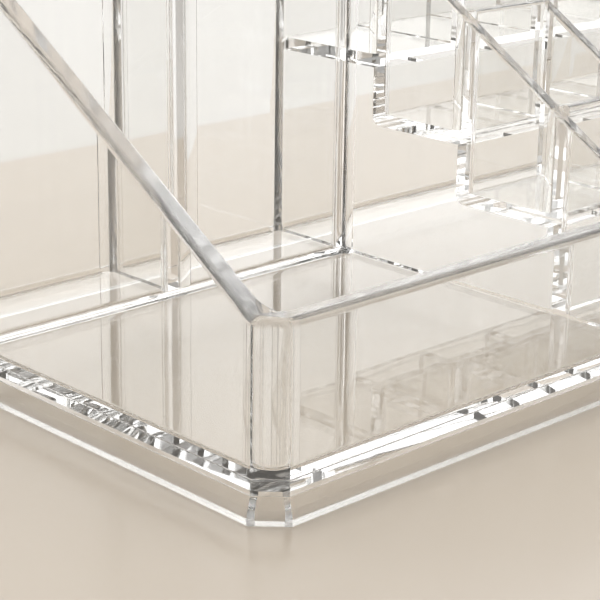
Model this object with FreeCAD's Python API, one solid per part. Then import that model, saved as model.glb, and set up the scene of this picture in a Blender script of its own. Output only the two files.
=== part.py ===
import FreeCAD, Part
import math
import os

# Clear vanity organizer: an open front tray, two tall brush bays behind it and a stepped
# lipstick rack beside it. Panels of polished clear sheet stand on a floor plate, the plate
# lies on a hollow flared plinth, and every seam is a bonded butt joint.
# Millimetres. X runs left to right, Y front to back, Z up. The origin is under the middle.

# Sheet and edges
sheet = 3.0  # thickness of the inner walls, shelves and floor plate
outer_sheet = 4.3  # thickness of the outer panels and corner posts
rim_radius = 0.8  # rounding of the polished upper edges
outer_rim_radius = 1.5  # the same on the organizer's outside
corner_leg = 9.0  # length of a corner post along each of its two panels
corner_chamfer = 4.7  # leg of the flat cut across each corner

# Front tray and brush bays
front_height = 28.0  # front panel above the floor plate
left_bay_width = 52.0
right_bay_width = 46.4
bay_depth = 22.0
cove_radius = 2.5  # fillet where a brush bay wall meets the panel it stands against
cove_tip = 0.3  # thickness left at the thin ends of a cove
foot_cove_radius = 1.1  # fillet along the foot of the brush bays' front wall

# Lipstick rack
column_count = 4
row_count = 4
cell_width = 24.0
cell_depth = 23.0  # all rows but the last
back_row_depth = 31.4
first_shelf_height = 20.8  # lowest shelf's top above the floor plate
shelf_rise = 13.2  # from each shelf to the next
end_cove_radius = 1.7  # fillet where the ends of a cross wall meet the rack's outer walls
slot_clearance = 0.05  # each side of a panel in its half-lap slot

# Sloped rails: level over the front corners, then rising to the back corner posts
rail_angle = 32.2

# Plinth
plinth_height = 5.0
plinth_flare = 1.25  # how far the skirt stands out past the panels
plinth_foot = 1.7  # upright band below the flare
plinth_wall = 3.2

# Worked out from the driving dimensions
gap_sum = left_bay_width + right_bay_width + column_count * cell_width
width = gap_sum + (column_count + 1) * sheet + 2 * outer_sheet
depth = (row_count - 1) * (cell_depth + sheet) + back_row_depth + 2 * outer_sheet
left, right = -width / 2, width / 2
front, back = -depth / 2, depth / 2
floor = plinth_height + sheet
rail_start = front + corner_chamfer
rail_end = back - corner_leg
back_inside = back - outer_sheet
rail_slope = math.tan(math.radians(rail_angle))
bay_front = back_inside - bay_depth - sheet
divider_left = left + outer_sheet + left_bay_width
rack_left = divider_left + sheet + right_bay_width
rack_inside = rack_left + sheet
row_fronts = [front + outer_sheet + row * (cell_depth + sheet) for row in range(row_count)]
wall_fronts = [row_front - sheet for row_front in row_fronts[1:]]
shelf_tops = [floor + first_shelf_height + step * shelf_rise for step in range(row_count - 1)]
divider_places = [rack_left + (column + 1) * (cell_width + sheet) for column in range(column_count - 1)]
reach = width + depth  # longer than any cut has to be
nearly = 1e-6


def rail_height(y):
    """Height of the sloped rails at depth y."""
    along = min(max(y, rail_start), rail_end) - rail_start
    return floor + front_height + rail_slope * along


wall_tops = [rail_height(wall_front + sheet) for wall_front in wall_fronts]
lap_heights = [(shelf + top) / 2 for shelf, top in zip(shelf_tops, wall_tops)]
brush_top = rail_height(bay_front)


def block(x0, x1, y0, y1, z0, z1):
    """Square-edged block between two corners."""
    return Part.makeBox(x1 - x0, y1 - y0, z1 - z0, FreeCAD.Vector(x0, y0, z0))


def prism(points, direction):
    """Solid swept from a flat polygon."""
    outline = Part.makePolygon([FreeCAD.Vector(*point) for point in points + points[:1]])
    return Part.Face(outline).extrude(FreeCAD.Vector(*direction))


def under_rails(shape):
    """The part of a shape below the sloped rails."""
    line = [(y, rail_height(y)) for y in (front - sheet, rail_start, rail_end, back + sheet)]
    profile = [(front - sheet, 0.0)] + line + [(back + sheet, 0.0)]
    return shape.common(prism([(-reach, y, z) for y, z in profile], (2 * reach, 0, 0)))


def inset(edge):
    """How far an edge lies inside the organizer's outline."""
    x = width / 2 - abs(edge.CenterOfMass.x)
    y = depth / 2 - abs(edge.CenterOfMass.y)
    return min(x, y, (x + y - corner_chamfer) / math.sqrt(2))


def round_rims(shape, is_rim):
    """Rounds the upper edges that the test picks, more on the organizer's outside."""
    outside = [edge for edge in shape.Edges if is_rim(edge) and inset(edge) < nearly]
    if outside:
        shape = shape.makeFillet(outer_rim_radius, outside)
    inside = [edge for edge in shape.Edges if is_rim(edge) and inset(edge) > outer_sheet / 2]
    return shape.makeFillet(rim_radius, inside)


def runs_along(edge, axis):
    """True for an edge that keeps its place on every level axis but the given one."""
    box = edge.BoundBox
    still = box.XLength if axis == "y" else box.YLength
    return still < nearly < (box.YLength if axis == "y" else box.XLength)


def on_rail(edge):
    """True for an edge that lies on the sloped rails' surface."""
    first, last = edge.ParameterRange
    points = [edge.valueAt(first + share * (last - first)) for share in (0.0, 0.5, 1.0)]
    return all(abs(point.z - rail_height(point.y)) < nearly for point in points)


def at_height(edge, z):
    """True for an edge that lies level at height z."""
    return abs(edge.BoundBox.ZMin - z) < nearly and abs(edge.BoundBox.ZMax - z) < nearly


def rail_panel(x0, x1, y0, y1):
    """Upright panel along Y whose top follows the rails, with both long upper edges rounded."""
    panel = under_rails(block(x0, x1, y0, y1, floor, reach))
    return round_rims(panel, lambda edge: on_rail(edge) and runs_along(edge, "y"))


def level_panel(x0, x1, y0, y1, z0, z1, axis):
    """Upright panel with a level top and both long upper edges rounded."""
    panel = block(x0, x1, y0, y1, z0, z1)
    return round_rims(panel, lambda edge: at_height(edge, z1) and runs_along(edge, axis))


def cove(corner, radius, side, out, along):
    """Concave fillet strip in the corner between two faces, with a blunt tip on each face."""
    corner, side, out = FreeCAD.Vector(*corner), FreeCAD.Vector(*side), FreeCAD.Vector(*out)

    def place(u, v):
        return corner + side * u + out * v

    middle = radius - (radius - cove_tip) / math.sqrt(2)
    curve = Part.Arc(place(radius, cove_tip), place(middle, middle), place(cove_tip, radius)).toShape()
    tips = [(cove_tip, radius), (0, radius), (0, 0), (radius, 0), (radius, cove_tip)]
    outline = Part.Wire([curve] + Part.makePolygon([place(u, v) for u, v in tips]).Edges)
    return Part.Face(outline).extrude(FreeCAD.Vector(*along))


def plinth_outline(offset, z):
    """Rectangle of the panels' outside with cut corners, grown by an offset, at height z."""
    x, y = width / 2 + offset, depth / 2 + offset
    cut = corner_chamfer + (2 - math.sqrt(2)) * offset
    quarter = [(x, y - cut), (x - cut, y)]
    ring = quarter + [(-u, v) for u, v in quarter[::-1]] + [(-u, -v) for u, v in quarter]
    ring += [(u, -v) for u, v in quarter[::-1]]
    return [(u, v, z) for u, v in ring]


def skirt(inset):
    """Solid with the plinth's flared outside, drawn in by an inset."""
    levels = [(plinth_flare, 0.0), (plinth_flare, plinth_foot), (0.0, plinth_height)]
    wires = []
    for offset, z in levels:
        points = [FreeCAD.Vector(*point) for point in plinth_outline(offset - inset, z)]
        wires.append(Part.makePolygon(points + points[:1]))
    return Part.makeLoft(wires, True, True)


def base_plinth():
    """Hollow flared skirt that the organizer stands on."""
    return skirt(0.0).cut(skirt(plinth_wall))


def floor_plate():
    """Sheet with cut corners that carries every panel."""
    return prism(plinth_outline(0.0, plinth_height), (0, 0, sheet))


def corner_post(side_x, side_y):
    """Post between two outer panels, cut flat outside and hollowed to a round inside corner."""

    def place(u, v):
        return FreeCAD.Vector(side_x * (width / 2 - u), side_y * (depth / 2 - v), floor)

    hollow = corner_leg - (corner_leg - outer_sheet) / math.sqrt(2)
    ends = place(outer_sheet, corner_leg), place(corner_leg, outer_sheet)
    inside = Part.Arc(ends[0], place(hollow, hollow), ends[1]).toShape()
    outside = [(corner_leg, outer_sheet), (corner_leg, 0), (corner_chamfer, 0), (0, corner_chamfer)]
    outside += [(0, corner_leg), (outer_sheet, corner_leg)]
    outline = Part.Wire([inside] + Part.makePolygon([place(u, v) for u, v in outside]).Edges)
    post = under_rails(Part.Face(outline).extrude(FreeCAD.Vector(0, 0, reach)))
    seam_x = side_x * (width / 2 - corner_leg)
    seam_y = side_y * (depth / 2 - corner_leg)

    def is_rim(edge):
        middle = edge.CenterOfMass
        on_seam = abs(middle.x - seam_x) < nearly or abs(middle.y - seam_y) < nearly
        crease = runs_along(edge, "x") and abs(middle.y - rail_start) < nearly
        return on_rail(edge) and not on_seam and not crease

    return round_rims(post, is_rim)


def brush_front_wall():
    """Front wall of both brush bays, coved at its foot and where its ends meet their panels."""
    x0, x1 = left + outer_sheet, rack_left
    y0, y1 = bay_front, bay_front + sheet
    wall = level_panel(x0, x1, y0, y1, floor, brush_top, "x")
    upright = (0, 0, brush_top - floor - rim_radius)
    coves = [cove((x0, y0, floor), foot_cove_radius, (0, -1, 0), (0, 0, 1), (x1 - x0, 0, 0))]
    for x, inward in ((x0, 1), (x1, -1)):
        coves.append(cove((x, y0, floor), cove_radius, (inward, 0, 0), (0, -1, 0), upright))
        coves.append(cove((x, y1, floor), cove_radius, (inward, 0, 0), (0, 1, 0), upright))
    return wall.fuse(coves).removeSplitter()


def brush_divider():
    """Wall between the two brush bays, coved where it meets their front wall and the back panel."""
    x0, x1 = divider_left, divider_left + sheet
    y0 = bay_front + sheet
    wall = level_panel(x0, x1, y0, back_inside, floor, brush_top, "y")
    upright = (0, 0, brush_top - floor - rim_radius)
    coves = []
    for x, side in ((x0, -1), (x1, 1)):
        coves.append(cove((x, y0, floor), cove_radius, (side, 0, 0), (0, 1, 0), upright))
        coves.append(cove((x, back_inside, floor), cove_radius, (side, 0, 0), (0, -1, 0), upright))
    return wall.fuse(coves).removeSplitter()


def rack_left_wall():
    """Wall between the bays and the rack, coved where it meets the back panel in the right bay."""
    wall = rail_panel(rack_left, rack_inside, front + outer_sheet, back_inside)
    upright = (0, 0, brush_top - floor - rim_radius)
    corner = cove((rack_left, back_inside, floor), cove_radius, (-1, 0, 0), (0, -1, 0), upright)
    return wall.fuse(corner).removeSplitter()


def rack_divider(x):
    """Column wall with a stepped foot on the shelves and half-lap slots over the cross walls."""
    wall = rail_panel(x, x + sheet, front + outer_sheet, back_inside)
    shelf_ends = wall_fronts[1:] + [back_inside]
    cuts = []
    for wall_front, shelf_end, shelf_top, lap in zip(wall_fronts, shelf_ends, shelf_tops, lap_heights):
        slot_front, slot_back = wall_front - slot_clearance, wall_front + sheet + slot_clearance
        cuts.append(block(x - sheet, x + 2 * sheet, slot_front, slot_back, 0, lap))
        cuts.append(block(x - sheet, x + 2 * sheet, slot_back, shelf_end, 0, shelf_top))
    return wall.cut(cuts)


def rack_cross_wall(row):
    """Wall between two rows, with coved ends. It stands on the floor, or hangs past the shelf before it."""
    foot = shelf_tops[row - 1] - sheet if row else floor
    ground = shelf_tops[row - 1] if row else floor
    x0, x1 = rack_inside, right - outer_sheet
    y0, y1 = wall_fronts[row], wall_fronts[row] + sheet
    wall = level_panel(x0, x1, y0, y1, foot, wall_tops[row], "x")
    rim_drop = rim_radius / math.cos(math.radians(rail_angle))
    front_rise = rail_height(y0 - end_cove_radius) - rim_drop - ground
    back_rise = rail_height(y1) - rim_drop - shelf_tops[row]
    coves = []
    for x, inward in ((x0, (1, 0, 0)), (x1, (-1, 0, 0))):
        coves.append(cove((x, y0, ground), end_cove_radius, inward, (0, -1, 0), (0, 0, front_rise)))
        coves.append(cove((x, y1, shelf_tops[row]), end_cove_radius, inward, (0, 1, 0), (0, 0, back_rise)))
    wall = wall.fuse(coves).removeSplitter()
    slots = []
    for x in divider_places:
        slot_left, slot_right = x - slot_clearance, x + sheet + slot_clearance
        slots.append(block(slot_left, slot_right, y0 - sheet, y1 + sheet, lap_heights[row], reach))
    return wall.cut(slots)


def rack_shelf(step):
    """Shelf under one row, up to the wall behind it and scribed to the round back corner."""
    y0 = wall_fronts[step] + sheet
    y1 = (wall_fronts[1:] + [back_inside])[step]
    shelf = block(rack_inside, right - outer_sheet, y0, y1, shelf_tops[step] - sheet, shelf_tops[step])
    return shelf.cut(corner_post(1, 1))


def panels():
    """Every piece of the organizer by name."""
    seam_x, seam_y = width / 2 - corner_leg, depth / 2 - corner_leg
    front_top = floor + front_height
    pieces = {
        "base_plinth": base_plinth(),
        "floor_plate": floor_plate(),
        "front_panel": level_panel(-seam_x, seam_x, front, front + outer_sheet, floor, front_top, "x"),
        "back_panel": level_panel(-seam_x, seam_x, back_inside, back, floor, rail_height(back), "x"),
        "left_side_panel": rail_panel(left, left + outer_sheet, -seam_y, seam_y),
        "right_side_panel": rail_panel(right - outer_sheet, right, -seam_y, seam_y),
        "front_left_corner": corner_post(-1, -1),
        "front_right_corner": corner_post(1, -1),
        "back_left_corner": corner_post(-1, 1),
        "back_right_corner": corner_post(1, 1),
        "brush_front_wall": brush_front_wall(),
        "brush_divider": brush_divider(),
        "rack_left_wall": rack_left_wall(),
    }
    for number, x in enumerate(divider_places, 1):
        pieces[f"rack_divider_{number}"] = rack_divider(x)
    for number in range(1, row_count):
        pieces[f"rack_cross_wall_{number}"] = rack_cross_wall(number - 1)
        pieces[f"rack_shelf_{number}"] = rack_shelf(number - 1)
    return pieces


os.makedirs("parts", exist_ok=True)
for name, shape in panels().items():
    if not shape.isValid() or len(shape.Solids) != 1:
        raise ValueError(f"{name} is not one valid solid")
    shape.exportStep(f"parts/{name}.step")
    print(f"{name}: {shape.Volume / 1000:.2f} cm3")
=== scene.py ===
import math

import bmesh
import bpy
import numpy as np
from mathutils import Matrix, Vector
from mathutils.geometry import delaunay_2d_cdt


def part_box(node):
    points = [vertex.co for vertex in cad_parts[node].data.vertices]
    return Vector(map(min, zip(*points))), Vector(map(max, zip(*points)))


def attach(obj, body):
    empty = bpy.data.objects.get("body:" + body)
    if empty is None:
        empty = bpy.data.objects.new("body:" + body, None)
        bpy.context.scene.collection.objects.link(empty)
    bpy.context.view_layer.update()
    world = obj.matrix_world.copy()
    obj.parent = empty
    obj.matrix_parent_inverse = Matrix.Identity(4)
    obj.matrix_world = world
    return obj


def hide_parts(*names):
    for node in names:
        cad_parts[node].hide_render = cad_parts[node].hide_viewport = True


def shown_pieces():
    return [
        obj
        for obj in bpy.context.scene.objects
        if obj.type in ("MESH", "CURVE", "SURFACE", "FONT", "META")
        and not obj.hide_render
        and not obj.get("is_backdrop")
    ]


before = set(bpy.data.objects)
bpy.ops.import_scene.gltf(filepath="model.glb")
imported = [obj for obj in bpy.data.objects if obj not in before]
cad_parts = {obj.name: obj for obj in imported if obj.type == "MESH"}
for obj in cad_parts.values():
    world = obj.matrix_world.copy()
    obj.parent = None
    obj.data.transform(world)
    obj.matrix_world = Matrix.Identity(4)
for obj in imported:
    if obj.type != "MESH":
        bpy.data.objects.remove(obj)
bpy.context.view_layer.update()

bl_info = {
    "name": "Clear Vanity Organizer",
    "version": (1, 0, 0),
    "blender": (4, 5, 0),
    "location": "3D View > Sidebar > Organizer",
    "description": "Clear panels of a vanity organizer round its packed frame, with their finish and stage",
    "category": "Add Mesh",
}

# Places of the three finishes in every piece's list
FACE, SEAM, RIM = range(3)
# Least upward turn of a face that counts as rim
UPTURN = 0.3
BODY = "root"
MM = 0.001
TINY = 1e-9
SEAM_STEPS = 3
# Points closer than this are one point, and planes are told apart in steps of twice it
WELD = 2e-6
# Shift of those steps, so that round measures don't fall between two
OFF_STEP = 0.23
# Share of a cove's blunt tip that its rim rounds, and of a rim that an end cove stays below a rail
TIP_RIM = 0.8
RIM_CLEAR = 1.25
# Floor a hair below the plinth, so that the two never share a plane
FLOOR_GAP = 0.03 * MM
FLOOR_REACH = 4.0
EDGE_BLUR = 3 * MM
# Light from all round: where it is brightest, and its shades from opposite there on
DAYLIGHT_FROM = (0.65, 0.55, 0.5)
DAYLIGHT = (
    (0.0, (0.015, 0.015, 0.015)),
    (0.42, (0.02, 0.02, 0.02)),
    (0.55, (0.1, 0.098, 0.096)),
    (0.66, (0.52, 0.518, 0.51)),
    (0.85, (0.75, 0.75, 0.745)),
)
# Soft boxes by name, watts, size and place
SOFT_BOXES = (
    ("top box", 1.3, (0.6, 0.4), (-0.15, 0.35, 0.6)),
    ("side box", 2.0, (0.25, 0.9), (-0.9, 0.3, 0.5)),
)

# Main planes of the organizer, read from the frame in metres
plate_low, plate_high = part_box("floor_plate")
left, right = plate_low.x, plate_high.x
front, back = plate_low.y, plate_high.y
floor = plate_high.z
sheet = plate_high.z - plate_low.z
plinth_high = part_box("base_plinth")[1]
front_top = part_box("front_panel")[1].z
back_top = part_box("back_panel")[1].z
corner_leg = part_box("front_left_corner")[1].x - left
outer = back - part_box("back_panel")[0].y
inner_left, rack_right = left + outer, right - outer
inner_front, inner_back = front + outer, back - outer
rail_end = back - corner_leg
brush_low, brush_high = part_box("brush_front_wall")
brush_top = brush_high.z
bay_front = brush_low.y / 2 + brush_high.y / 2 - sheet / 2
bay_divider = sum(corner.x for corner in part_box("brush_divider")) / 2
rack_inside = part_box("rack_left_wall")[1].x
rack_left = rack_inside - sheet
divider_boxes = [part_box(f"rack_divider_{number}") for number in (1, 2, 3)]
wall_boxes = [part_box(f"rack_cross_wall_{number}") for number in (1, 2, 3)]
shelf_boxes = [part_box(f"rack_shelf_{number}") for number in (1, 2, 3)]


def length(name, description, default, precision=5):
    """Property for a length in metres."""
    return bpy.props.FloatProperty(
        name=name, description=description, default=default, min=0.0, precision=precision,
        unit="LENGTH", subtype="DISTANCE"
    )


def colour(name, description, default):
    """Property for a linear colour."""
    return bpy.props.FloatVectorProperty(
        name=name, description=description, default=default, min=0.0, max=1.0, size=3, subtype="COLOR"
    )


def factor(name, description, default):
    """Property for a share from 0 to 1."""
    return bpy.props.FloatProperty(
        name=name, description=description, default=default, min=0.0, max=1.0, subtype="FACTOR"
    )


def angle(name, description, degrees):
    """Property for an angle, given in degrees."""
    return bpy.props.FloatProperty(
        name=name, description=description, default=math.radians(degrees), subtype="ANGLE"
    )


class OrganizerShape(bpy.types.PropertyGroup):
    """Trims of the panels that the frame's boxes don't tell."""

    rim_radius: length("Rim radius", "Rounding of the polished upper edges", 0.8 * MM)
    outer_rim: length("Outer rim", "Rounding of the upper edges on the outside", 1.5 * MM)
    corner_chamfer: length("Corner chamfer", "Leg of the flat cut across each corner", 4.7 * MM)
    end_cove: length("End cove", "Upright fillet at the ends of the rack's cross walls", 1.7 * MM)
    step_bend: length("Step bend", "Rounding under a hanging cross wall's back foot", 2.4 * MM)
    bay_cove: length("Bay cove", "Upright fillet where a brush bay wall meets its neighbour", 2.5 * MM)
    cove_tip: length("Cove tip", "Thickness of a bay cove's blunt edge", 0.3 * MM)
    foot_cove: length("Foot cove", "Fillet along the foot of the tray's walls", 1.5 * MM)
    seam_bevel: length("Seam bevel", "Fine rounding of the outer edges that meet at a seam", 0.18 * MM)
    plinth_wall: length("Plinth wall", "Thickness of the plinth's skirt", 3.2 * MM)
    plinth_foot: length("Plinth foot", "Upright band at the foot of the plinth", 1.7 * MM)
    plinth_round: length("Plinth round", "Rounding of the plinth's outer edges", 0.35 * MM)
    round_steps: bpy.props.IntProperty(
        name="Round steps", description="Facets in a quarter round", default=7, min=2, max=24
    )


class OrganizerFinish(bpy.types.PropertyGroup):
    """Looks of the clear sheet."""

    tint: colour("Tint", "Colour that the sheet gives to light passing through", (0.975, 0.972, 0.962))
    clearness: factor("Clearness", "Share of light that the sheet doesn't scatter at a face", 0.992)
    haze: factor("Haze", "Highest roughness, in the faint wiped streaks", 0.03)
    rim_haze: factor("Rim haze", "Roughness that buffing leaves on the upper edges", 0.16)
    rim_clearness: factor("Rim clearness", "Share of light that the buffed edges don't scatter", 0.93)
    ripple: factor("Ripple", "Height of the soft waves in the polished faces", 0.008)
    shadow: colour("Shadow", "Light that a lamp sends through one face", (0.88, 0.87, 0.85))
    foot_shadow: colour("Foot shadow", "The same at the plinth", (0.38, 0.36, 0.33))


class OrganizerStage(bpy.types.PropertyGroup):
    """Floor, light and camera."""

    table: colour("Table", "Colour of the floor under the organizer", (0.585, 0.508, 0.422))
    distance: colour("Distance", "Colour of the floor further back", (0.66, 0.635, 0.6))
    table_edge: length("Table edge", "How far back the floor turns pale", 0.183, 3)
    daylight: bpy.props.FloatProperty(
        name="Daylight", description="Strength of the light from all round", default=1.8, min=0.0
    )
    bounces: bpy.props.IntProperty(
        name="Bounces", description="How often light is followed through the sheets", default=26, min=1
    )
    lens: bpy.props.FloatProperty(
        name="Lens", description="Focal length in millimetres", default=108.63, min=10.0
    )
    camera_place: bpy.props.FloatVectorProperty(
        name="Camera place", description="Where the camera stands", default=(-0.29351, -0.25837, 0.12962),
        size=3, subtype="TRANSLATION"
    )
    camera_turn: angle("Camera turn", "Turn of the camera from straight ahead", -43.756)
    camera_tilt: angle("Camera tilt", "Tilt of the camera from level", -18.168)
    camera_roll: angle("Camera roll", "Turn of the camera round its own view", 0.785)


# Surfaces


def rail_height(y):
    """Height of the sloped rails: level over the front corners, then straight up to the back corners."""
    start = front + bpy.context.scene.organizer_shape.corner_chamfer
    share = (np.clip(y, start, rail_end) - start) / (rail_end - start)
    return front_top + share * (back_top - front_top)


def level_height(z):
    """Height rule of a level top."""
    return lambda y: np.full_like(y, z)


def quarter(height, radius):
    """How far a quarter round of that radius stands off a face, at a height above where it starts."""
    rest = radius - np.minimum(height, radius)
    return radius - np.sqrt(np.maximum(radius**2 - rest**2, 0.0))


def quarter_steps(radius, steps):
    """Heights of a quarter round's facets, close together where it turns off the other face."""
    return radius * (1 - np.cos(np.linspace(0.0, math.pi / 2, steps + 1)))


def arc(centre, radii, start, end, steps):
    """Points on a circle or ellipse, both ends included: the centre plus the radii times the cosine and
    sine of even angles in degrees."""
    angles = np.radians(np.linspace(start, end, steps + 1))
    return np.array(centre) + np.array(radii) * np.stack([np.cos(angles), np.sin(angles)], axis=1)


def round_corner(centre, radius, start, end, steps):
    """Points of the facets that touch a circle at even angles in degrees: both ends, and between them where
    neighbouring facets cross, so that the first and last facets run on in line with flat walls."""
    half = (end - start) / steps / 2
    ends = arc(centre, radius, start, end, 1)
    crossings = arc(centre, radius / math.cos(math.radians(half)), start + half, end - half, steps - 1)
    return np.concatenate([ends[:1], crossings, ends[1:]])


class Outline:
    """Counter-clockwise outline of a panel. Each edge starts at its point and runs to the next point, and
    carries its share of three trims: the rim's rounding, the foot's cove and the fine bevel at a seam."""

    def __init__(self):
        self.points = []
        self.trims = []
        self.normals = []

    def run(self, *points, rim=0.0, cove=0.0, seam=0.0, normal=(0.0, 0.0)):
        """Adds an edge from each of the points. One with no length, where a cove ends, needs its normal."""
        for point in points:
            self.points.append(tuple(point))
            self.trims.append((rim, cove, seam))
            self.normals.append(normal)
        return self

    def arrays(self):
        """Points, outward unit normals and trims, each as one array."""
        points = np.array(self.points)
        along = np.roll(points, -1, axis=0) - points
        size = np.linalg.norm(along, axis=1, keepdims=True)
        normals = np.stack([along[:, 1], -along[:, 0]], axis=1) / np.maximum(size, TINY)
        return points, np.where(size > 1e-7, normals, np.array(self.normals)), np.array(self.trims)


def drawn_in(points, normals, insets):
    """Outline at each level, as (levels, points, 2). Every edge moves inward by its own inset, and a point
    is where its two moved edges cross, or straight in from its place where they are in line."""
    reach = np.einsum("ij,ij->i", normals, points) - insets
    before = np.roll(normals, 1, axis=0)
    reach_before = np.roll(reach, 1, axis=1)
    cross = before[:, 0] * normals[:, 1] - before[:, 1] * normals[:, 0]
    bent = np.abs(cross) > 1e-6
    safe = np.where(bent, cross, 1.0)
    x = (reach_before * normals[:, 1] - reach * before[:, 1]) / safe
    y = (reach * before[:, 0] - reach_before * normals[:, 0]) / safe
    crossed = np.stack([x, y], axis=-1)
    straight = points - normals * insets[..., None]
    return np.where(bent[:, None], crossed, straight)


def skin(rings, loops=None, closed=False):
    """Faces between neighbouring rings of points, a (levels, points, 3) array. A closed run joins its last
    ring to its first, any other is capped at both ends, with the top cap cut into the given loops."""
    levels, count = rings.shape[:2]
    index = np.arange(levels * count).reshape(levels, count)
    above = np.roll(index, -1, axis=0) if closed else index[1:]
    below = index if closed else index[:-1]
    quads = np.stack([below, np.roll(below, -1, 1), np.roll(above, -1, 1), above], axis=-1).reshape(-1, 4)
    faces = quads.tolist()
    if not closed:
        faces.append(index[0, ::-1].tolist())
        faces += [index[-1, loop].tolist() for loop in loops or [np.arange(count)]]
    mesh = bpy.data.meshes.new("surface")
    mesh.from_pydata(rings.reshape(-1, 3).tolist(), [], faces)
    return mesh


def cut_loops(count, creases):
    """Indices round an outline, cut across from point to point at each crease."""
    loops = [list(range(count))]
    for crease in creases:
        loop = next(loop for loop in loops if set(crease) <= set(loop))
        loops.remove(loop)
        first, last = sorted(loop.index(point) for point in crease)
        loops += [loop[first : last + 1], loop[last:] + loop[: first + 1]]
    return loops


def upright(outline, foot, top, creases=()):
    """Panel whose plan outline is carried up from its foot to the height rule of its top. Near the foot the
    coves stand out and the seam bevels draw in by quarter rounds, and near the top the rims draw in."""
    shape = bpy.context.scene.organizer_shape
    points, normals, trims = outline.arrays()
    rises = quarter_steps(shape.foot_cove, shape.round_steps), quarter_steps(shape.seam_bevel, SEAM_STEPS)
    rises = np.unique(np.concatenate(rises).round(9))
    rims = trims[:, 0] * shape.rim_radius
    drops = [quarter_steps(radius, shape.round_steps) for radius in {0.0, *rims.round(9).tolist()}]
    drops = np.unique(np.concatenate(drops).round(8))[::-1]
    foot_insets = -trims[:, 1] * quarter(rises, shape.foot_cove)[:, None]
    foot_insets = foot_insets + trims[:, 2] * quarter(rises, shape.seam_bevel)[:, None]
    insets = np.concatenate([foot_insets, quarter(drops[:, None], rims)])
    plan = drawn_in(points, normals, insets)
    low = np.broadcast_to((foot + rises)[:, None], (len(rises), len(points)))
    high = top(plan[len(rises) :, :, 1]) - drops[:, None]
    rings = np.concatenate([plan, np.concatenate([low, high])[..., None]], axis=-1)
    return skin(rings, cut_loops(len(points), creases))


def slab(outline, low, high, axis):
    """Flat panel whose outline is carried through its thickness, with quarter rounds on both sides of the
    rims. The axis is x for an outline in (y, z), and y for an outline in (x, z)."""
    shape = bpy.context.scene.organizer_shape
    points, normals, trims = outline.arrays()
    steps = quarter_steps(shape.rim_radius, shape.round_steps)
    places = np.concatenate([low + steps, high - steps[::-1]])
    insets = np.concatenate([quarter(steps, shape.rim_radius), quarter(steps[::-1], shape.rim_radius)])
    face = drawn_in(points, normals, trims[:, 0] * insets[:, None])
    through = np.broadcast_to(places[:, None], face.shape[:2])
    order = [through, face[..., 0], face[..., 1]] if axis == "x" else [face[..., 0], through, face[..., 1]]
    return skin(np.stack(order, axis=-1))


def strip(section, low, high, axis):
    """Bar whose section, an outline in the other two axes, is carried straight along one axis."""
    ends = np.repeat(np.array(section)[None], 2, axis=0)
    along = np.broadcast_to(np.array([low, high])[:, None], ends.shape[:2])
    order = {"x": [along, ends[..., 0], ends[..., 1]], "z": [ends[..., 0], ends[..., 1], along]}[axis]
    return skin(np.stack(order, axis=-1))


def fillet(radius, tip, corner, ways):
    """Section of a concave fillet between two walls that meet in a corner: a quarter of an ellipse that
    ends in a blunt tip on one wall and runs out on the other. The ways, 1 or -1, lead out of the corner."""
    steps = bpy.context.scene.organizer_shape.round_steps
    curve = arc((radius, radius), (radius - tip, radius), 180, 270, steps)
    section = [(0.0, 0.0)] + curve[::-1].tolist() + ([(0.0, radius)] if tip else [])
    return np.array(corner) + np.array(ways) * np.array(section)


def foot_coves(y, way, spans):
    """Fillets between the floor plate and a wall that faces one way along y, one for each span of x."""
    section = fillet(bpy.context.scene.organizer_shape.foot_cove, 0.0, (y, floor), (way, 1))
    return [strip(section, low, high, "x") for low, high in spans]


def bay_spans(cove):
    """Spans of x in the two brush bays, clear of their upright coves."""
    half = sheet / 2 + cove
    start = inner_left + max(cove, corner_leg - outer)
    return [(start, bay_divider - half), (bay_divider + half, rack_left - cove)]


def cut_rectangle():
    """The panels' outside rectangle with its cut corners."""
    cut = bpy.context.scene.organizer_shape.corner_chamfer
    x, y = right, back
    return np.array([
        (x - cut, y), (cut - x, y), (-x, y - cut), (-x, cut - y),
        (cut - x, -y), (x - cut, -y), (x, cut - y), (x, y - cut),
    ])


# Finishes


def shader_tree(name):
    """New material with an empty node tree, and a helper that adds nodes to it."""
    material = bpy.data.materials.new(name)
    material.use_nodes = True
    tree = material.node_tree
    tree.nodes.clear()

    def add(kind, **inputs):
        node = tree.nodes.new(kind)
        for key, value in inputs.items():
            socket = node.inputs[key.replace("_", " ")]
            if isinstance(value, bpy.types.NodeSocket):
                tree.links.new(value, socket)
            else:
                socket.default_value = value
        return node

    return material, tree, add


def opaque(rgb):
    """Linear colour with full alpha."""
    return (*rgb, 1.0)


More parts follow.
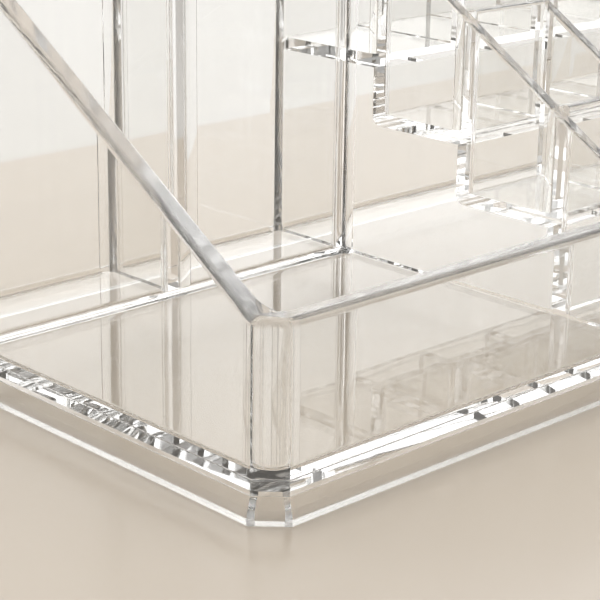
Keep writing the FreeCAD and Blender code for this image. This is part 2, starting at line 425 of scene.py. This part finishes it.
def clear_acrylic(name, dull, clearness):
    """Polished clear sheet: faint wiped haze over a least roughness, soft ripple, and light shadows."""
    finish = bpy.context.scene.organizer_finish
    material, tree, add = shader_tree(name)
    place = add("ShaderNodeTexCoord").outputs["Object"]
    stretch = add("ShaderNodeMapping", Vector=place, Scale=(1.0, 0.35, 0.6))
    wiped = add(
        "ShaderNodeTexNoise", Vector=stretch.outputs["Vector"], Scale=55.0, Detail=4.0, Roughness=0.6
    )
    haze = add(
        "ShaderNodeMapRange", Value=wiped.outputs["Fac"], From_Min=0.48, From_Max=0.75,
        To_Min=dull, To_Max=dull + finish.haze
    )
    waves = add("ShaderNodeTexNoise", Vector=place, Scale=90.0, Detail=1.0, Roughness=0.4)
    bump = add("ShaderNodeBump", Strength=finish.ripple, Distance=1.0 * MM, Height=waves.outputs["Fac"])
    cloud = add("ShaderNodeTexNoise", Vector=place, Scale=18.0, Detail=2.0)
    paler = add("ShaderNodeMix", Factor=cloud.outputs["Fac"])
    paler.data_type = "RGBA"
    paler.inputs[6].default_value = opaque(finish.tint)
    paler.inputs[7].default_value = (0.99, 0.99, 0.985, 1.0)
    sheet_shader = add(
        "ShaderNodeBsdfPrincipled", Base_Color=paler.outputs[2], Roughness=haze.outputs["Result"], IOR=1.49,
        Normal=bump.outputs["Normal"], Transmission_Weight=clearness
    )
    height = add("ShaderNodeSeparateXYZ", Vector=place).outputs["Z"]
    raised = add("ShaderNodeMapRange", Value=height, From_Min=plinth_high.z, From_Max=floor)
    shade = add("ShaderNodeMix", Factor=raised.outputs["Result"])
    shade.data_type = "RGBA"
    shade.inputs[6].default_value = opaque(finish.foot_shadow)
    shade.inputs[7].default_value = opaque(finish.shadow)
    passing = add("ShaderNodeBsdfTransparent", Color=shade.outputs[2])
    ray = add("ShaderNodeLightPath")
    mixed = add("ShaderNodeMixShader", Fac=ray.outputs["Is Shadow Ray"])
    tree.links.new(sheet_shader.outputs["BSDF"], mixed.inputs[1])
    tree.links.new(passing.outputs["BSDF"], mixed.inputs[2])
    add("ShaderNodeOutputMaterial", Surface=mixed.outputs["Shader"])
    return material


def bonded_seam(name):
    """Face inside a solvent-bonded joint, where light passes from sheet to sheet unbent."""
    material, _, add = shader_tree(name)
    passing = add("ShaderNodeBsdfTransparent", Color=(1.0, 1.0, 1.0, 1.0))
    add("ShaderNodeOutputMaterial", Surface=passing.outputs["BSDF"])
    return material


def finish_materials():
    """The three finishes of every piece, made once: faces, bonded seams and buffed rims."""
    finish = bpy.context.scene.organizer_finish
    made = bpy.data.materials
    return [
        made.get("clear acrylic") or clear_acrylic("clear acrylic", 0.0, finish.clearness),
        made.get("bonded seam") or bonded_seam("bonded seam"),
        made.get("buffed rim") or clear_acrylic("buffed rim", finish.rim_haze, finish.rim_clearness),
    ]


def place_piece(node, *surfaces):
    """Cleans the surfaces of a piece, gives it its finishes and puts it in the place of its frame node."""
    whole = bmesh.new()
    for surface in surfaces:
        work = bmesh.new()
        work.from_mesh(surface)
        bmesh.ops.remove_doubles(work, verts=work.verts, dist=WELD)
        bmesh.ops.dissolve_degenerate(work, dist=WELD, edges=work.edges)
        bmesh.ops.recalc_face_normals(work, faces=work.faces)
        bmesh.ops.dissolve_limit(work, angle_limit=math.radians(0.5), verts=work.verts, edges=work.edges)
        work.to_mesh(surface)
        work.free()
        whole.from_mesh(surface)
        bpy.data.meshes.remove(surface)
    mesh = bpy.data.meshes.new(node)
    whole.to_mesh(mesh)
    whole.free()
    piece = bpy.data.objects.new(f"clear_{node}", mesh)
    mesh.name = piece.name
    bpy.context.scene.collection.objects.link(piece)
    for material in finish_materials():
        mesh.materials.append(material)
    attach(piece, BODY)
    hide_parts(node)
    return piece


# Bonded seams


def flat_axes(normal):
    """Two unit directions in a plane that turn round its normal, along the world's axes where they can."""
    lead = max(range(3), key=lambda axis: abs(normal[axis]))
    axis = Vector(np.eye(3)[(lead + 1) % 3])
    side = (axis - normal * axis.dot(normal)).normalized()
    return side, normal.cross(side).normalized()


def settled(values):
    """Values where those closer together than a weld are all made the smallest of them."""
    order = np.sort(values)
    steps = order[np.diff(order, prepend=order[0] - 1.0) > WELD]
    return steps[np.searchsorted(steps, values, side="right") - 1]


def welded(places):
    """For each place, the first of the places that are no further than a weld from it."""
    apart = np.linalg.norm(places[:, None] - places[None], axis=-1)
    return np.argmax(apart < WELD, axis=1).tolist()


def shared_planes(works):
    """Faces of all pieces by the plane they lie in, for planes where pieces face each other."""
    planes = {}
    for name, work in works.items():
        for face in work.faces:
            normal = face.normal
            lead = next(value for value in normal if abs(value) > 1e-3)
            upward = 1 if lead > 0 else -1
            base = normal * upward
            depth = base.dot(face.verts[0].co) / (2 * WELD) + OFF_STEP
            key = (*(round(value, 3) for value in base), round(depth))
            planes.setdefault(key, []).append((name, face, upward))
    return [faces for faces in planes.values() if len({turn for _, _, turn in faces}) == 2]


def vertex_at(work, face, point):
    """The face's point at a place, made by splitting the edge that it lies on, or a new loose point."""
    near = min(face.verts, key=lambda vertex: (vertex.co - point).length_squared)
    if (near.co - point).length < WELD:
        return near
    for edge in face.edges:
        first, last = (vertex.co for vertex in edge.verts)
        along = last - first
        share = (point - first).dot(along) / along.length_squared
        if 0.0 < share < 1.0 and (first + along * share - point).length < 1.5 * WELD:
            vertex = bmesh.utils.edge_split(edge, edge.verts[0], share)[1]
            vertex.co = point
            return vertex
    return work.verts.new(point)


def recut(work, face, own, places, loops):
    """Swaps a flat face for the loops of places that cover it, each a bonded patch or a bare one."""
    vertices = dict(own)
    for index in sorted({index for loop, _ in loops for index in loop} - set(own)):
        vertices[index] = vertex_at(work, face, places[index])
    normal = face.normal.copy()
    bmesh.ops.delete(work, geom=[face], context="FACES_ONLY")
    for loop, bonded in loops:
        patch = work.faces.new([vertices[index] for index in loop])
        patch.normal_update()
        if patch.normal.dot(normal) < 0:
            patch.normal_flip()
        patch.material_index = SEAM if bonded else FACE


def bond_plane(works, faces):
    """Cuts the faces in one plane along each other's outlines, and bonds the patches where two meet."""
    _, first, first_turn = faces[0]
    depth = first.normal * first.normal.dot(first.verts[0].co)
    side, up = flat_axes(first.normal)
    corners = [list(face.verts)[:: turn * first_turn] for _, face, turn in faces]
    spread = np.array([vertex.co for group in corners for vertex in group])
    flat = np.stack([settled(spread @ np.array(side)), settled(spread @ np.array(up))], axis=1)
    flat, which = np.unique(flat, axis=0, return_inverse=True)
    ends = np.cumsum([len(group) for group in corners])[:-1]
    polygons = [group.tolist() for group in np.split(which.ravel(), ends)]
    points = [Vector(point) for point in (flat / MM).tolist()]
    spots, _, patches, sources, _, owners = delaunay_2d_cdt(points, [], polygons, 4, 1e-6)
    places = [depth + (side * spot.x + up * spot.y) * MM for spot in spots]
    weld = welded(np.array(places))
    patches = [
        [weld[spot] for spot, last in zip(patch, patch[-1:] + patch[:-1]) if weld[spot] != weld[last]]
        for patch in patches
    ]
    spot_of = {source: weld[spot] for spot, group in enumerate(sources) for source in group}
    turns = [{faces[index][2] for index in owner} for owner in owners]
    for index, (name, face, _) in enumerate(faces):
        loops = [
            (patch, len(turn) == 2) for patch, turn, owner in zip(patches, turns, owners)
            if index in owner and len(patch) > 2
        ]
        if any(bonded for _, bonded in loops):
            own = {spot_of[source]: vertex for source, vertex in zip(polygons[index], corners[index])}
            recut(works[name], face, own, places, loops)


# Operators


class ORGANIZER_OT_plinth(bpy.types.Operator):
    """Hollow flared skirt that the organizer stands on."""

    bl_idname = "organizer.plinth"
    bl_label = "Add Plinth"

    def execute(self, context):
        shape = context.scene.organizer_shape
        flare = plinth_high.x - right
        height = plinth_high.z
        bevel = shape.plinth_round
        steps = quarter_steps(bevel, shape.round_steps)
        fine = quarter_steps(shape.seam_bevel, SEAM_STEPS)
        lean = flare / (height - shape.plinth_foot)
        # Outside from the ground up, then over the top, and down the inside
        outside = [(steps, flare - quarter(steps, bevel))]
        outside.append((np.array([shape.plinth_foot]), np.array([flare])))
        outside.append((height - fine[::-1], lean * fine[::-1] - quarter(fine[::-1], shape.seam_bevel)))
        inside_heights = np.array([height, shape.plinth_foot, 0.0])
        inside = np.array([0.0, flare, flare]) - shape.plinth_wall
        heights = np.concatenate([rise for rise, _ in outside] + [inside_heights])
        offsets = np.concatenate([reach for _, reach in outside] + [inside])
        points, normals, _ = Outline().run(*cut_rectangle()).arrays()
        plan = drawn_in(points, normals, np.repeat(-offsets[:, None], len(points), axis=1))
        rise = np.broadcast_to(heights[:, None, None], (*plan.shape[:2], 1))
        place_piece("base_plinth", skin(np.concatenate([plan, rise], axis=-1), closed=True))
        return {"FINISHED"}


class ORGANIZER_OT_floor_plate(bpy.types.Operator):
    """Sheet with cut corners that carries every panel."""

    bl_idname = "organizer.floor_plate"
    bl_label = "Add Floor Plate"

    def execute(self, context):
        shape = context.scene.organizer_shape
        fine = quarter_steps(shape.seam_bevel, SEAM_STEPS)
        heights = np.concatenate([plate_low.z + fine, plate_high.z - fine[::-1]])
        insets = np.concatenate([quarter(fine, shape.seam_bevel), quarter(fine[::-1], shape.seam_bevel)])
        points, normals, _ = Outline().run(*cut_rectangle()).arrays()
        plan = drawn_in(points, normals, np.repeat(insets[:, None], len(points), axis=1))
        rise = np.broadcast_to(heights[:, None, None], (*plan.shape[:2], 1))
        place_piece("floor_plate", skin(np.concatenate([plan, rise], axis=-1)))
        return {"FINISHED"}


class ORGANIZER_OT_outer_panels(bpy.types.Operator):
    """Front, back and side panels between the corner posts."""

    bl_idname = "organizer.outer_panels"
    bl_label = "Add Outer Panels"

    def execute(self, context):
        shape = context.scene.organizer_shape
        seam_x, seam_y = right - corner_leg, back - corner_leg
        cove_end = bay_front - shape.bay_cove
        wide = shape.outer_rim / shape.rim_radius

        panel = Outline().run((-seam_x, front), rim=wide, seam=1).run((seam_x, front))
        panel.run((seam_x, inner_front), rim=1)
        panel.run((rack_left, inner_front), normal=(1.0, 0.0)).run((rack_left, inner_front), rim=1, cove=1)
        panel.run((-seam_x, inner_front))
        place_piece("front_panel", upright(panel, floor, level_height(front_top)))

        panel = Outline().run((-seam_x, inner_back), rim=1).run((seam_x, inner_back))
        panel.run((seam_x, back), rim=wide, seam=1).run((-seam_x, back))
        spans = bay_spans(shape.bay_cove) + [(rack_inside, rack_right + outer - corner_leg)]
        coves = foot_coves(inner_back, -1, spans)
        place_piece("back_panel", upright(panel, floor, level_height(back_top)), *coves)

        panel = Outline().run((left, -seam_y)).run((inner_left, -seam_y), rim=1, cove=1)
        panel.run((inner_left, cove_end), normal=(0.0, 1.0)).run((inner_left, cove_end), rim=1)
        panel.run((inner_left, seam_y)).run((left, seam_y), rim=wide, seam=1)
        place_piece("left_side_panel", upright(panel, floor, rail_height))

        panel = Outline().run((rack_right, -seam_y)).run((right, -seam_y), rim=wide, seam=1)
        panel.run((right, seam_y)).run((rack_right, seam_y), rim=1)
        place_piece("right_side_panel", upright(panel, floor, rail_height))
        return {"FINISHED"}


class ORGANIZER_OT_corner_posts(bpy.types.Operator):
    """Posts between the outer panels, cut flat outside and hollowed to a round inside corner."""

    bl_idname = "organizer.corner_posts"
    bl_label = "Add Corner Posts"

    def execute(self, context):
        for name, side_x, side_y in (
            ("front_left_corner", -1, -1), ("front_right_corner", 1, -1),
            ("back_left_corner", -1, 1), ("back_right_corner", 1, 1),
        ):
            self.add_post(context.scene.organizer_shape, name, side_x, side_y)
        return {"FINISHED"}

    def add_post(self, shape, name, side_x, side_y):
        """Post in its own corner's measures: along the front or back, then in from it."""
        cut, leg = shape.corner_chamfer, corner_leg
        at_back = side_y > 0
        cove = float(side_x < 0 and side_y < 0)
        hollow = leg - outer
        wide = shape.outer_rim / shape.rim_radius
        bend = math.degrees(math.asin((leg - cut) / hollow))
        inside = round_corner((leg, leg), hollow, 180, 180 + bend, shape.round_steps)
        past_bend = len(inside) - 1
        rest = round_corner((leg, leg), hollow, 180 + bend, 270, shape.round_steps)
        inside = np.concatenate([inside[:-1], rest])
        if at_back:
            inside = round_corner((leg, leg), hollow, 180, 270, shape.round_steps)
        post = Outline().run((leg, outer)).run((leg, 0.0), (cut, 0.0), (0.0, cut), rim=wide, seam=1)
        post.run((0.0, leg)).run(*inside[:-1], rim=1, cove=cove)
        turned = place_outline(post, side_x, side_y)
        crease = [3, 5 + past_bend]
        if side_x * side_y > 0:
            crease = [(len(post.points) - index) % len(post.points) for index in crease]
        place_piece(name, upright(turned, floor, rail_height, [] if at_back else [crease]))


def place_outline(outline, side_x, side_y):
    """Outline measured in from one outer corner, put in that corner and kept counter-clockwise."""
    points = [(side_x * (right - u), side_y * (back - v)) for u, v in outline.points]
    trims = list(outline.trims)
    placed = Outline()
    if side_x * side_y > 0:
        points = [points[0]] + points[:0:-1]
        trims = trims[::-1]
    for point, (rim, cove, seam) in zip(points, trims):
        placed.run(point, rim=rim, cove=cove, seam=seam)
    return placed


class ORGANIZER_OT_brush_walls(bpy.types.Operator):
    """Front wall of the two brush bays and the wall between them, with their coves."""

    bl_idname = "organizer.brush_walls"
    bl_label = "Add Brush Walls"

    def execute(self, context):
        shape = context.scene.organizer_shape
        cove, tip, steps = shape.bay_cove, shape.cove_tip, shape.round_steps
        slim = (cove - tip, cove)
        rim = tip / shape.rim_radius * TIP_RIM
        x0, x1 = inner_left, rack_left
        y0, y1 = bay_front, bay_front + sheet
        wall = Outline().run((x0, y0 - cove))
        wall.run(*arc((x0 + cove, y0 - cove), slim, 180, 90, steps), rim=rim, cove=1)
        wall.run(*arc((x1 - cove, y0 - cove), slim, 90, 0, steps)[:-1], rim=rim, cove=1)
        wall.run((x1 - tip, y0 - cove), (x1, y0 - cove), (x1, y1 + cove))
        wall.run(*arc((x1 - cove, y1 + cove), slim, 0, -90, steps), rim=rim)
        wall.run(*arc((x0 + cove, y1 + cove), slim, 270, 180, steps)[:-1], rim=rim)
        wall.run((x0 + tip, y1 + cove), (x0, y1 + cove))
        coves = foot_coves(y1, 1, bay_spans(cove))
        place_piece("brush_front_wall", upright(wall, floor, level_height(brush_top)), *coves)

        slim = (cove, cove - tip)
        x0, x1 = bay_divider - sheet / 2, bay_divider + sheet / 2
        wall = Outline().run((x0 - cove, y1), (x1 + cove, y1))
        wall.run(*arc((x1 + cove, y1 + cove), slim, 270, 180, steps), rim=rim)
        wall.run(*arc((x1 + cove, inner_back - cove), slim, 180, 90, steps)[:-1], rim=rim)
        wall.run((x1 + cove, inner_back - tip), (x1 + cove, inner_back), (x0 - cove, inner_back))
        wall.run(*arc((x0 - cove, inner_back - cove), slim, 90, 0, steps), rim=rim)
        wall.run(*arc((x0 - cove, y1 + cove), slim, 0, -90, steps)[:-1], rim=rim)
        wall.run((x0 - cove, y1 + tip))
        place_piece("brush_divider", upright(wall, floor, level_height(brush_top)))
        return {"FINISHED"}


def wall_sides(box):
    """Front and back of a cross wall, whose box also holds its coves."""
    middle = (box[0].y + box[1].y) / 2
    return middle - sheet / 2, middle + sheet / 2


class ORGANIZER_OT_rack_columns(bpy.types.Operator):
    """Left wall of the lipstick rack and the column walls that lap over the cross walls."""

    bl_idname = "organizer.rack_columns"
    bl_label = "Add Rack Columns"

    def execute(self, context):
        shape = context.scene.organizer_shape
        start, end = inner_front, inner_back
        crease = front + shape.corner_chamfer
        wall = Outline().run((rack_left, start))
        wall.run((rack_inside, start), (rack_inside, crease), (rack_inside, rail_end), rim=1)
        wall.run((rack_inside, end)).run((rack_left, end), (rack_left, rail_end), rim=1)
        wall.run((rack_left, crease), rim=1)
        cove = fillet(shape.bay_cove, shape.cove_tip, (rack_left, end), (-1, -1))
        cove = strip(cove, floor, brush_top - shape.rim_radius, "z")
        place_piece("rack_left_wall", upright(wall, floor, rail_height, [(2, 7), (3, 6)]), cove)

        for number, (low, high) in enumerate(divider_boxes, 1):
            wall = Outline().run((start, floor))
            for wall_box, shelf_box in zip(wall_boxes, shelf_boxes):
                lap = (shelf_box[1].z + wall_box[1].z) / 2
                y0, y1 = wall_sides(wall_box)
                foot = wall.points[-1][1]
                wall.run((y0, foot), (y0, lap), (y1, lap), (y1, shelf_box[1].z))
            wall.run((end, shelf_boxes[-1][1].z))
            wall.run((end, back_top), (rail_end, back_top), (crease, front_top), rim=1)
            wall.run((start, front_top))
            place_piece(f"rack_divider_{number}", slab(wall, low.x, high.x, "x"))
        return {"FINISHED"}


class ORGANIZER_OT_rack_rows(bpy.types.Operator):
    """Cross walls between the rows of the rack, slotted from above, and the shelves under them."""

    bl_idname = "organizer.rack_rows"
    bl_label = "Add Rack Rows"

    def execute(self, context):
        shape = context.scene.organizer_shape
        ground = floor
        for number, (wall_box, shelf_box) in enumerate(zip(wall_boxes, shelf_boxes), 1):
            low, high = wall_box
            y0, y1 = wall_sides(wall_box)
            lap = (shelf_box[1].z + high.z) / 2
            hung = low.z > floor + TINY
            foot = low.z + shape.step_bend if hung else low.z
            wall = Outline().run((rack_inside, foot), (rack_right, foot))
            wall.run((rack_right, high.z), rim=1)
            for divider_low, divider_high in reversed(divider_boxes):
                wall.run((divider_high.x, high.z), (divider_high.x, lap), (divider_low.x, lap))
                wall.run((divider_low.x, high.z), rim=1)
            wall.run((rack_inside, high.z))
            strips = self.end_coves(shape, y0, y1, ground, shelf_box[1].z)
            if hung:
                strips.append(self.round_foot(shape, y0, y1, low.z))
            place_piece(f"rack_cross_wall_{number}", slab(wall, y0, y1, "y"), *strips)
            self.add_shelf(number, shelf_box)
            ground = shelf_box[1].z
        return {"FINISHED"}

    def end_coves(self, shape, y0, y1, ground, shelf):
        """Upright fillets on both sides of a cross wall's two ends, as high as the rails let them be."""
        radius = shape.end_cove
        rims = RIM_CLEAR * shape.rim_radius
        strips = []
        for x, inward in ((rack_inside, 1), (rack_right, -1)):
            for y, out, low, top in ((y0, -1, ground, y0 - radius), (y1, 1, shelf, y1)):
                section = fillet(radius, shape.cove_tip, (x, y), (inward, out))
                strips.append(strip(section, low, float(rail_height(top)) - rims, "z"))
        return strips

    def round_foot(self, shape, y0, y1, low):
        """Foot of a hanging cross wall, whose lower back edge is a quarter of a circle."""
        bend = shape.step_bend
        curve = round_corner((y1 - bend, low + bend), bend, 270, 360, shape.round_steps)
        section = [(y0, low + bend), (y0, low)] + curve.tolist()
        return strip(section, rack_inside, rack_right, "x")

    def add_shelf(self, number, shelf_box):
        """Shelf from one cross wall to the next, scribed to the round back corner where it reaches it."""
        low, high = shelf_box
        plan = [(low.x, low.y), (high.x, low.y)]
        seam_y = back - corner_leg
        if high.y > seam_y + TINY:
            steps = bpy.context.scene.organizer_shape.round_steps
            scribe = round_corner((corner_leg, corner_leg), corner_leg - outer, 180, 270, steps)
            plan += [(right - u, back - v) for u, v in scribe]
        else:
            plan.append((high.x, high.y))
        plan.append((low.x, high.y))
        points, normals, _ = Outline().run(*plan).arrays()
        levels = drawn_in(points, normals, np.zeros((2, len(points))))
        rise = np.broadcast_to(np.array([low.z, high.z])[:, None, None], (*levels.shape[:2], 1))
        place_piece(f"rack_shelf_{number}", skin(np.concatenate([levels, rise], axis=-1)))


class ORGANIZER_OT_bond_seams(bpy.types.Operator):
    """Bonds every panel to its neighbours where their flat faces meet, and smooths the rounds."""

    bl_idname = "organizer.bond_seams"
    bl_label = "Bond Seams"

    def execute(self, context):
        pieces = [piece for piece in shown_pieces() if piece.name.startswith("clear_")]
        works = {}
        for piece in pieces:
            works[piece.name] = bmesh.new()
            works[piece.name].from_mesh(piece.data)
            works[piece.name].normal_update()
        for faces in shared_planes(works):
            bond_plane(works, faces)
        shape = context.scene.organizer_shape
        for piece in pieces:
            work = works[piece.name]
            if "plinth" in piece.name:
                self.buff_foot(shape, work)
            elif not any(word in piece.name for word in ("shelf", "plate")):
                self.buff_rims(shape, work)
            work.to_mesh(piece.data)
            work.free()
            piece.data.shade_smooth()
            piece.data.set_sharp_from_angle(angle=math.radians(30))
            weighted = piece.modifiers.new("flat faces", "WEIGHTED_NORMAL")
            weighted.keep_sharp = True
            weighted.weight = 100
        return {"FINISHED"}

    def buff_foot(self, shape, work):
        """Gives the buffed finish to the upright band at the plinth's foot."""
        for face in work.faces:
            if face.material_index == FACE and face.calc_center_median().z < shape.plinth_foot:
                face.material_index = RIM

    def buff_rims(self, shape, work):
        """Gives the buffed finish to the faces that turn up along a panel's upper edge."""
        top = max(vertex.co.z for vertex in work.verts)
        for face in work.faces:
            middle = face.calc_center_median()
            edge = min(top, float(rail_height(middle.y))) - shape.outer_rim
            if face.material_index == FACE and face.normal.z > UPTURN and middle.z > edge:
                face.material_index = RIM


class ORGANIZER_OT_stage(bpy.types.Operator):
    """Pale floor, soft light and the camera."""

    bl_idname = "organizer.stage"
    bl_label = "Set Stage"

    def execute(self, context):
        scene = context.scene
        stage = scene.organizer_stage
        self.add_floor(stage)
        self.add_world(scene, stage.daylight)
        self.add_lamps()
        camera = bpy.data.objects.new("camera", bpy.data.cameras.new("camera"))
        camera.data.lens = stage.lens
        camera.data.sensor_width = 36.0
        camera.data.clip_start = 0.01
        camera.location = stage.camera_place
        tilt = Matrix.Rotation(math.pi / 2 + stage.camera_tilt, 3, "X")
        turn = Matrix.Rotation(stage.camera_turn, 3, "Z") @ tilt
        camera.rotation_euler = (turn @ Matrix.Rotation(stage.camera_roll, 3, "Z")).to_euler()
        scene.collection.objects.link(camera)
        scene.camera = camera
        scene.view_settings.view_transform = "Standard"
        scene.cycles.max_bounces = stage.bounces
        scene.cycles.transmission_bounces = stage.bounces
        scene.cycles.glossy_bounces = stage.bounces
        scene.cycles.transparent_max_bounces = 64
        scene.cycles.caustics_reflective = False
        return {"FINISHED"}

    def add_floor(self, stage):
        """Flat round floor whose colour turns pale further back."""
        rim = arc((0.0, 0.0), FLOOR_REACH, 0, 360, 96)[:-1]
        mesh = bpy.data.meshes.new("floor")
        mesh.from_pydata([(x, y, -FLOOR_GAP) for x, y in rim.tolist()], [], [list(range(len(rim)))])
        ground = bpy.data.objects.new("floor", mesh)
        material, _, add = shader_tree("pale floor")
        place = add("ShaderNodeTexCoord").outputs["Object"]
        axes = add("ShaderNodeSeparateXYZ", Vector=place)
        pale = add(
            "ShaderNodeMapRange", Value=axes.outputs["Y"], From_Min=stage.table_edge - EDGE_BLUR,
            From_Max=stage.table_edge + EDGE_BLUR
        )
        pale.interpolation_type = "SMOOTHSTEP"
        mix = add("ShaderNodeMix", Factor=pale.outputs["Result"])
        mix.data_type = "RGBA"
        mix.inputs[6].default_value = opaque(stage.table)
        mix.inputs[7].default_value = opaque(stage.distance)
        surface = add("ShaderNodeBsdfPrincipled", Base_Color=mix.outputs[2], Roughness=0.2)
        add("ShaderNodeOutputMaterial", Surface=surface.outputs["BSDF"])
        mesh.materials.append(material)
        bpy.context.scene.collection.objects.link(ground)
        ground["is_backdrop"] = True

    def add_world(self, scene, strength):
        """Soft light from all round, brightest from high behind the organizer and dim behind the camera."""
        world = bpy.data.worlds.new("studio")
        world.use_nodes = True
        scene.world = world
        tree = world.node_tree
        tree.nodes.clear()
        place = tree.nodes.new("ShaderNodeTexCoord")
        aim = tree.nodes.new("ShaderNodeVectorMath")
        aim.operation = "DOT_PRODUCT"
        tree.links.new(place.outputs["Generated"], aim.inputs[0])
        aim.inputs[1].default_value = Vector(DAYLIGHT_FROM).normalized()
        toward = tree.nodes.new("ShaderNodeMapRange")
        tree.links.new(aim.outputs["Value"], toward.inputs["Value"])
        toward.inputs["From Min"].default_value = -1.0
        ramp = tree.nodes.new("ShaderNodeValToRGB")
        tree.links.new(toward.outputs["Result"], ramp.inputs["Fac"])
        ramp.color_ramp.elements.remove(ramp.color_ramp.elements[0])
        ramp.color_ramp.elements[0].position, ramp.color_ramp.elements[0].color = 1.0, (1.0, 1.0, 1.0, 1.0)
        for position, shade in DAYLIGHT:
            ramp.color_ramp.elements.new(position).color = opaque(shade)
        background = tree.nodes.new("ShaderNodeBackground")
        background.inputs["Strength"].default_value = strength
        tree.links.new(ramp.outputs["Color"], background.inputs["Color"])
        output = tree.nodes.new("ShaderNodeOutputWorld")
        tree.links.new(background.outputs["Background"], output.inputs["Surface"])

    def add_lamps(self):
        """Two soft boxes: a large one above and behind, a narrow one to the left."""
        for name, power, size, place in SOFT_BOXES:
            lamp = bpy.data.lights.new(name, "AREA")
            lamp.shape = "RECTANGLE"
            lamp.size, lamp.size_y = size
            lamp.energy = power
            box = bpy.data.objects.new(name, lamp)
            box.location = place
            box.rotation_euler = (-Vector(place)).to_track_quat("-Z", "Y").to_euler()
            bpy.context.scene.collection.objects.link(box)


BUILD_ORDER = (
    ORGANIZER_OT_plinth, ORGANIZER_OT_floor_plate, ORGANIZER_OT_outer_panels, ORGANIZER_OT_corner_posts,
    ORGANIZER_OT_brush_walls, ORGANIZER_OT_rack_columns, ORGANIZER_OT_rack_rows, ORGANIZER_OT_bond_seams,
    ORGANIZER_OT_stage,
)


class VIEW3D_PT_organizer(bpy.types.Panel):
    """Sidebar list of the organizer's steps and sizes."""

    bl_label = "Vanity Organizer"
    bl_space_type = "VIEW_3D"
    bl_region_type = "UI"
    bl_category = "Organizer"

    def draw(self, context):
        scene = context.scene
        for group in (scene.organizer_shape, scene.organizer_finish, scene.organizer_stage):
            column = self.layout.column(align=True)
            for name in group.__annotations__:
                column.prop(group, name)
        for step in BUILD_ORDER:
            self.layout.operator(step.bl_idname)


GROUPS = {
    "organizer_shape": OrganizerShape,
    "organizer_finish": OrganizerFinish,
    "organizer_stage": OrganizerStage,
}


def register():
    """Registers the property groups, operators and panel."""
    for name, group in GROUPS.items():
        bpy.utils.register_class(group)
        setattr(bpy.types.Scene, name, bpy.props.PointerProperty(type=group))
    for operator in BUILD_ORDER:
        bpy.utils.register_class(operator)
    bpy.utils.register_class(VIEW3D_PT_organizer)


def unregister():
    """Removes what register added."""
    bpy.utils.unregister_class(VIEW3D_PT_organizer)
    for operator in reversed(BUILD_ORDER):
        bpy.utils.unregister_class(operator)
    for name, group in GROUPS.items():
        delattr(bpy.types.Scene, name)
        bpy.utils.unregister_class(group)


def main():
    """Builds the organizer and its stage."""
    register()
    for operator in BUILD_ORDER:
        group, name = operator.bl_idname.split(".")
        getattr(getattr(bpy.ops, group), name)()


if __name__ == "__main__":
    main()
